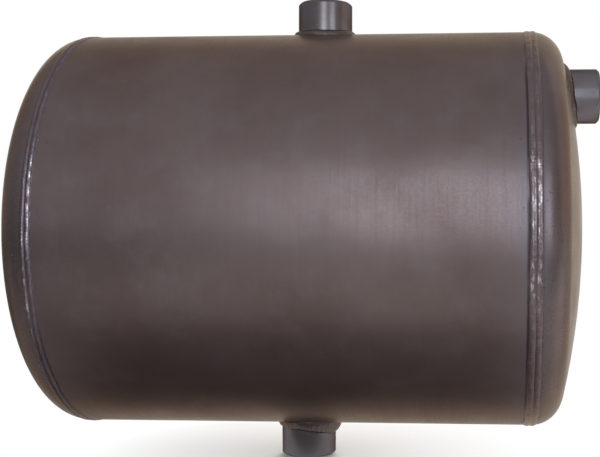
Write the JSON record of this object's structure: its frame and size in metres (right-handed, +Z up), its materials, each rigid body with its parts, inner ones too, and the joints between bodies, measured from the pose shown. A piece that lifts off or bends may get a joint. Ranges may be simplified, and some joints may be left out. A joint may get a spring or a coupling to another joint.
{
  "type": "horizontal pressure tank",
  "caption": "Small bare steel pressure vessel: a rolled shell closed by shallow dished heads, with girth welds and weld-on threaded sockets above, below and on one head.",
  "frame": {"origin": "middle of the bottom socket's rim, the face that the tank stands on", "axes": "+X along the tank's axis towards the head with the end socket, +Z up through the bottom and top sockets, +Y towards the lengthwise seam"},
  "size_m": [0.4285, 0.3028, 0.353],
  "materials": {
    "shell_plate": "bare hot-rolled plate with brown mill scale, satin, with fine rolling lines",
    "head_plate": "bare pressed plate with brown mill scale, satin",
    "weld_metal": "as-welded steel, rippled, with violet and blue heat tint",
    "socket_steel": "turned steel, dark, with fine turning marks"
  },
  "bodies": {
    "root": {"shell": "shell_plate", "seam_weld": "weld_metal", "left_head": "head_plate", "right_head": "head_plate", "left_girth_weld": "weld_metal", "right_girth_weld": "weld_metal", "top_socket": "socket_steel", "bottom_socket": "socket_steel", "end_socket": "socket_steel", "top_socket_weld": "weld_metal", "bottom_socket_weld": "weld_metal", "end_socket_weld": "weld_metal"}
  },
  "joints": []
}
